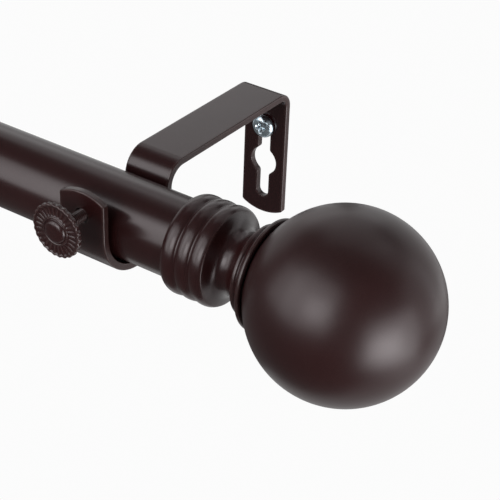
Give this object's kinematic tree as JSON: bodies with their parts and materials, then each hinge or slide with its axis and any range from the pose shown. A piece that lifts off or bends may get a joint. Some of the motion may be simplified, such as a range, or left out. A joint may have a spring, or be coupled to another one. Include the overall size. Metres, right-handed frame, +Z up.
{
  "type": "curtain rod with brackets",
  "caption": "Telescoping round curtain rod with ball finials, held in U-cup strap brackets with thumb screws and keyhole wall plates.",
  "frame": {"origin": "on the wall's face, midway between the two brackets and level with the rod's axis", "axes": "+X along the rod towards the fixed finial, +Y out of the back of the wall plates into the wall, +Z up"},
  "size_m": [0.851, 0.1216, 0.0654],
  "materials": {
    "cocoa_coat": "satin dark cocoa powder coat on steel",
    "cocoa_resin": "cast resin sprayed in the same satin dark cocoa as the steel",
    "zinc": "bright zinc-plated steel",
    "black_steel": "black oxide steel",
    "nylon": "matte dark nylon"
  },
  "bodies": {
    "wall_brackets": {"bracket_right": "cocoa_coat", "bracket_left": "cocoa_coat", "wall_screw_right": "zinc", "wall_screw_left": "zinc"},
    "outer_rod": {"outer_tube": "cocoa_coat", "outer_tube_end_ring": "nylon", "finial_socket_right": "cocoa_coat", "finial_ball_right": "cocoa_resin", "finial_stud_right": "zinc", "finial_grub_screw_right": "black_steel"},
    "inner_rod": {"inner_tube": "cocoa_coat", "inner_tube_plug": "nylon", "adapter_sleeve": "nylon", "finial_socket_left": "cocoa_coat", "finial_ball_left": "cocoa_resin", "finial_stud_left": "zinc", "finial_grub_screw_left": "black_steel"},
    "thumb_shank_right": {"thumb_screw_shank_right": "cocoa_coat"},
    "thumb_shank_left": {"thumb_screw_shank_left": "cocoa_coat"},
    "thumb_head_right": {"thumb_screw_head_right": "cocoa_coat"},
    "thumb_head_left": {"thumb_screw_head_left": "cocoa_coat"}
  },
  "joints": [
    {"name": "rod_lift", "type": "slide", "parent": "wall_brackets", "child": "outer_rod", "axis": [0, 0, 1], "range_m": [0, 0.03]},
    {"name": "telescope", "type": "slide", "parent": "outer_rod", "child": "inner_rod", "axis": [-1, 0, 0], "range_m": [0, 0.508]},
    {"name": "thumb_feed_right", "type": "slide", "parent": "wall_brackets", "child": "thumb_shank_right", "axis": [0, 1, 0], "range_m": [-0.00211, 0.00155]},
    {"name": "thumb_turn_right", "type": "hinge", "parent": "thumb_shank_right", "child": "thumb_head_right", "pos_m": [0.3145, -0.1095, 0.0071], "axis": [0, 1, 0], "range_deg": [-1080, 790]},
    {"name": "thumb_feed_left", "type": "slide", "parent": "wall_brackets", "child": "thumb_shank_left", "axis": [0, 1, 0], "range_m": [-0.00211, 0.00155]},
    {"name": "thumb_turn_left", "type": "hinge", "parent": "thumb_shank_left", "child": "thumb_head_left", "pos_m": [-0.3145, -0.1095, 0.0071], "axis": [0, 1, 0], "range_deg": [-1080, 790]}
  ],
  "couplings": [
    {"joint": "thumb_feed_right", "follows": "thumb_turn_right", "m_per_rad": 0.00011141},
    {"joint": "thumb_feed_left", "follows": "thumb_turn_left", "m_per_rad": 0.00011141}
  ]
}
